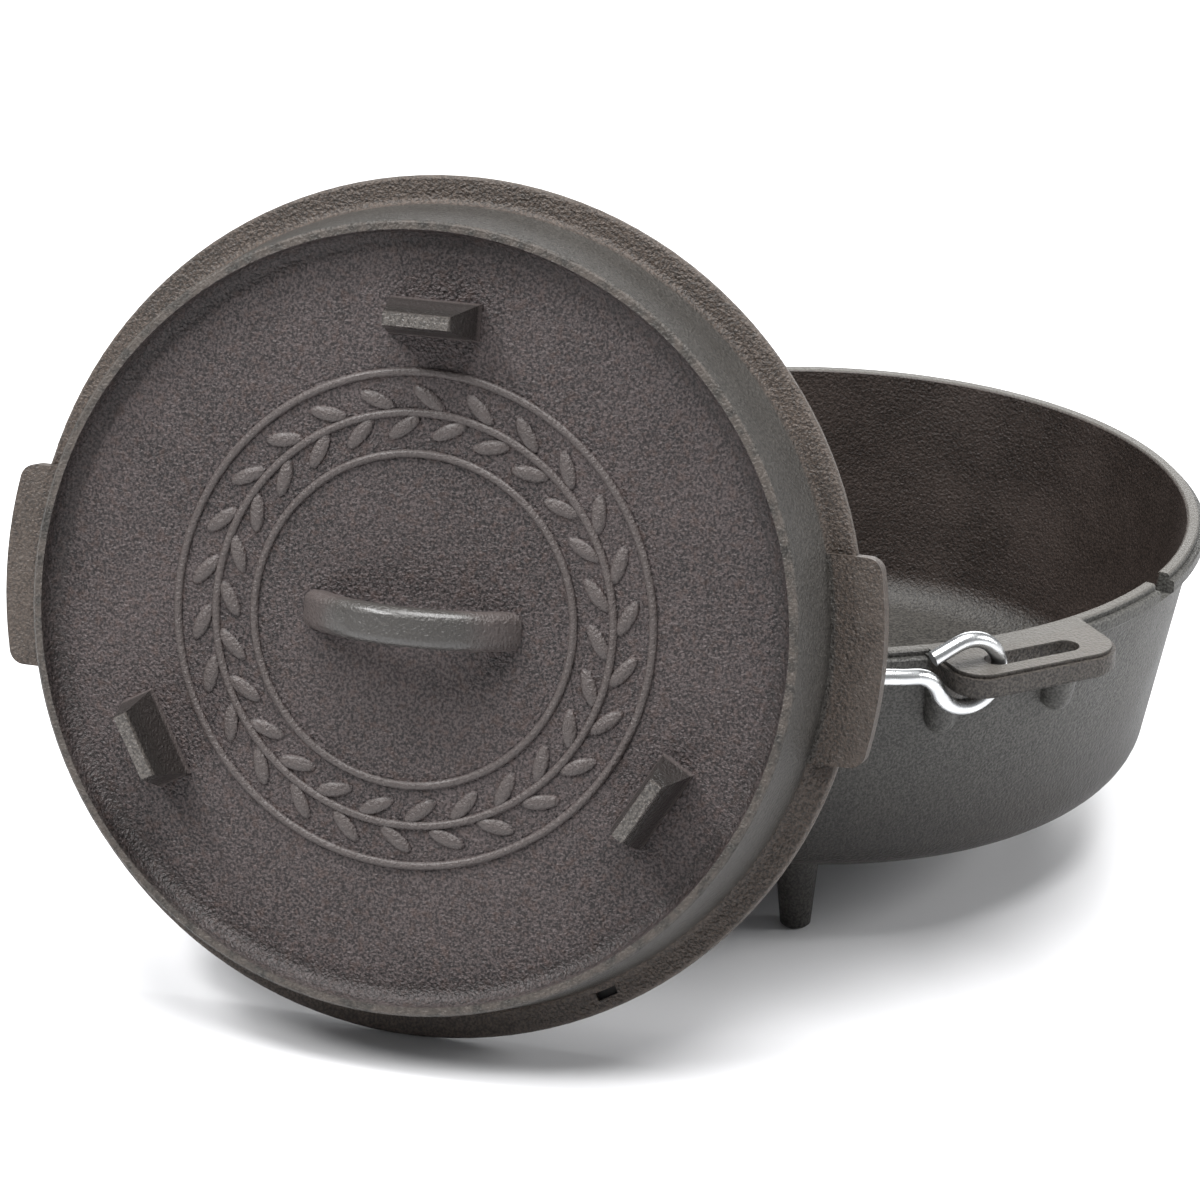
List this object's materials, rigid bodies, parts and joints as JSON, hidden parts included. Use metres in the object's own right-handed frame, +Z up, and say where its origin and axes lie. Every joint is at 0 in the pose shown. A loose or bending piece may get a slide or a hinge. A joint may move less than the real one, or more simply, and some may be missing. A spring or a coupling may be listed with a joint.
{
  "type": "camp oven",
  "caption": "Cast-iron camp oven: a legged pot with slotted ears, a wire bail that swings, and a flanged lid with coal rim, feet and loop handle, taken off and leaning.",
  "frame": {"origin": "on the pot's axis, at the level of the floor that its legs stand on", "axes": "+Z up along the pot's axis; +X and -X through the ears; the bail folds towards -Y"},
  "size_m": [0.3838, 0.486, 0.3028],
  "materials": {
    "pot_iron": "seasoned, satin",
    "lid_iron": "seasoned, grainy",
    "wire": "bright zinc"
  },
  "bodies": {
    "pot": {"pot": "pot_iron"},
    "lid": {"lid": "lid_iron"},
    "bail": {"bail": "wire"}
  },
  "joints": [
    {"name": "bail_swing", "type": "hinge", "parent": "pot", "child": "bail", "pos_m": [0, -0.02675, 0.13175], "axis": [-1, 0, 0], "range_deg": [0, 160]},
    {"name": "lid_lift", "type": "slide", "parent": "pot", "child": "lid", "axis": [0, 0, 1], "range_m": [0, 0.34]}
  ]
}
